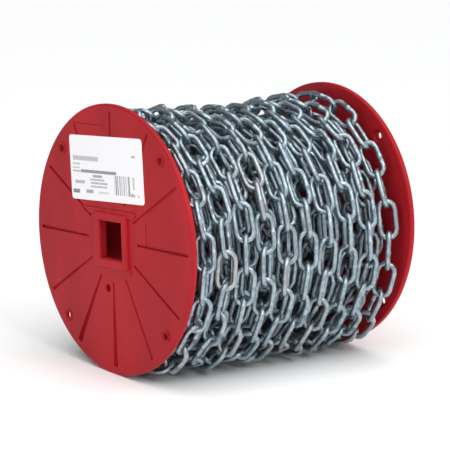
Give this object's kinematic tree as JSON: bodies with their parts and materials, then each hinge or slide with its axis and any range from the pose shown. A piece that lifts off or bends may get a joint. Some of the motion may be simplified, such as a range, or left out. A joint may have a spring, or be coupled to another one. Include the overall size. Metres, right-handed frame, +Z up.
{
  "type": "reel of steel chain",
  "caption": "Moulded plastic reel with a square arbor hole, wound full of zinc-plated straight-link steel chain; it stands on its rims or on either flange.",
  "frame": {"origin": "middle of the reel's footprint, on the floor it stands on", "axes": "+X along the reel's axis from the labelled flange to the plain one, +Z up"},
  "size_m": [0.228, 0.2176, 0.2177],
  "materials": {
    "reel_plastic": "moulded red polystyrene, semi-gloss",
    "label_paper": "matt white label stock with plain grey bars",
    "zinc_chain": "bright zinc plate",
    "inner_chain": "zinc plate in the shade of the outer turns"
  },
  "bodies": {
    "root": {"flange_left": "reel_plastic", "flange_right": "reel_plastic", "barrel": "reel_plastic", "label": "label_paper", "chain_turn_01": "zinc_chain", "chain_turn_02": "zinc_chain", "chain_turn_03": "zinc_chain", "chain_turn_04": "zinc_chain", "chain_turn_05": "zinc_chain", "chain_turn_06": "zinc_chain", "chain_turn_07": "zinc_chain", "chain_turn_08": "zinc_chain", "chain_turn_09": "zinc_chain", "chain_turn_10": "zinc_chain", "chain_core": "inner_chain"}
  },
  "joints": []
}
